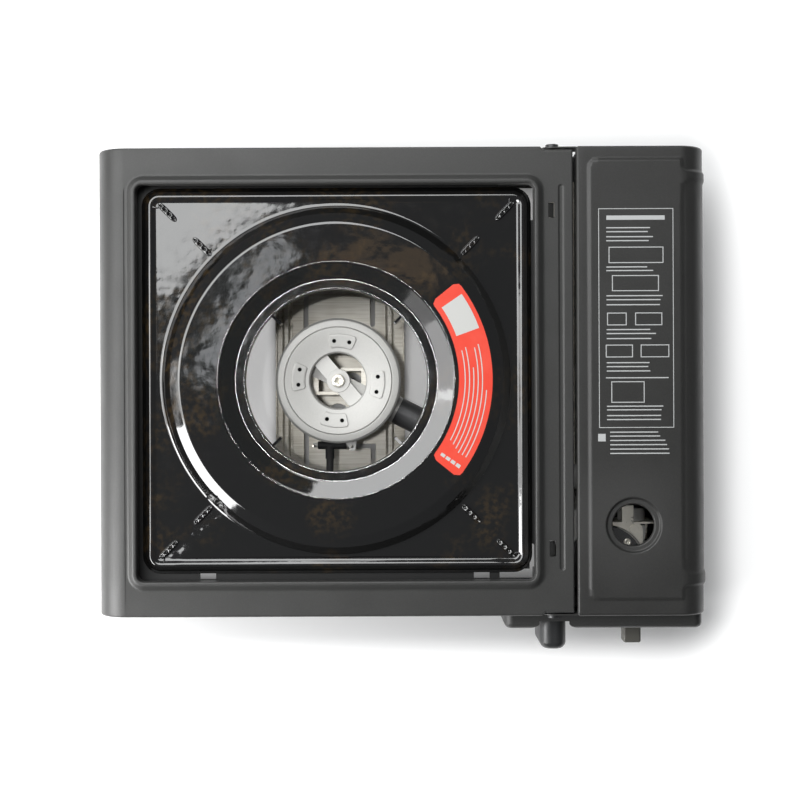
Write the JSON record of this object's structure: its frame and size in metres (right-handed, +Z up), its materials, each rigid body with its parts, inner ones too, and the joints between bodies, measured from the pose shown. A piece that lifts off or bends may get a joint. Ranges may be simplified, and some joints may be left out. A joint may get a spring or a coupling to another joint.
{
  "type": "portable gas stove",
  "caption": "Portable stove with one burner, lift-off drip pan and pot supports, dial, lock lever and a hinged lid over a bay for a lying gas cartridge.",
  "frame": {"origin": "under the middle of the whole stove, on the surface it stands on", "axes": "+X towards the cartridge bay, +Y to the rear, +Z up; the dial faces -Y"},
  "size_m": [0.343, 0.286, 0.0882],
  "materials": {
    "casing_paint": "dark grey satin paint with a fine texture",
    "lid_paint": "dark grey satin paint with a fine texture",
    "enamel": "gloss black vitreous enamel",
    "cast_alloy": "fine grit-blasted casting",
    "plated_steel": "bright zinc plate",
    "dark_steel": "dull dark steel",
    "black_plastic": "satin moulded plastic",
    "panel_paint": "dark grey satin paint",
    "rubber": "matt rubber",
    "brass": "turned brass",
    "ceramic": "glazed white ceramic",
    "red_label": "plain red printed film",
    "spring_steel": "bright spring wire"
  },
  "bodies": {
    "casing": {"air_shutter": "plated_steel", "base_screws": "plated_steel", "base_strip": "plated_steel", "body_shell": "casing_paint", "burner_base": "cast_alloy", "burner_bracket": "plated_steel", "burner_cap": "cast_alloy", "burner_screw": "plated_steel", "canister_tray": "dark_steel", "cartridge_claw": "plated_steel", "claw_screw": "plated_steel", "control_panel": "panel_paint", "electrode": "ceramic", "electrode_boot": "rubber", "electrode_clip": "plated_steel", "electrode_tip": "plated_steel", "feet": "rubber", "gas_nozzle": "brass", "governor_cover": "dark_steel", "governor_screws": "plated_steel", "heat_shield": "plated_steel", "hinge_pins": "dark_steel", "igniter_body": "black_plastic", "ignition_lead": "rubber", "inlet_seal": "rubber", "lever_pin": "plated_steel", "mixing_tube": "dark_steel", "pan_ledge": "dark_steel", "panel_screws": "plated_steel", "push_spring": "spring_steel", "valve_body": "cast_alloy"},
    "lid": {"canister_lid": "lid_paint"},
    "pan": {"drip_pan": "enamel", "pan_label": "red_label", "pot_support_1": "enamel", "pot_support_2": "enamel", "pot_support_3": "enamel", "pot_support_4": "enamel"},
    "dial": {"knob": "black_plastic", "valve_stem": "brass", "ignition_cam": "black_plastic"},
    "plunger": {"igniter_plunger": "black_plastic"},
    "lever": {"lock_lever": "plated_steel", "lever_tab": "black_plastic"},
    "pusher": {"push_rod": "plated_steel", "push_plate": "plated_steel"}
  },
  "joints": [
    {"name": "lid_hinge", "type": "hinge", "parent": "casing", "child": "lid", "pos_m": [0.085, 0.01, 0.076], "axis": [0, -1, 0], "range_deg": [0, 90]},
    {"name": "pan_lift", "type": "slide", "parent": "casing", "child": "pan", "axis": [0, 0, 1], "range_m": [0, 0.06]},
    {"name": "knob_turn", "type": "hinge", "parent": "casing", "child": "dial", "pos_m": [0.086, -0.12, 0.047], "axis": [0, -1, 0], "range_deg": [0, 100]},
    {"name": "plunger_slide", "type": "slide", "parent": "casing", "child": "plunger", "axis": [0, 0, -1], "range_m": [0, 0.0046]},
    {"name": "lever_turn", "type": "hinge", "parent": "casing", "child": "lever", "pos_m": [0.1329, -0.078, 0.011], "axis": [1, 0, 0], "range_deg": [0, 13]},
    {"name": "pusher_slide", "type": "slide", "parent": "casing", "child": "pusher", "axis": [0, -1, 0], "range_m": [0, 0.00317], "deforming": ["push_spring"]}
  ],
  "couplings": [
    {"joint": "plunger_slide", "follows": "knob_turn", "m_per_rad": 0.0025783},
    {"joint": "lever_turn", "follows": "pusher_slide", "rad_per_m": 71.429}
  ]
}
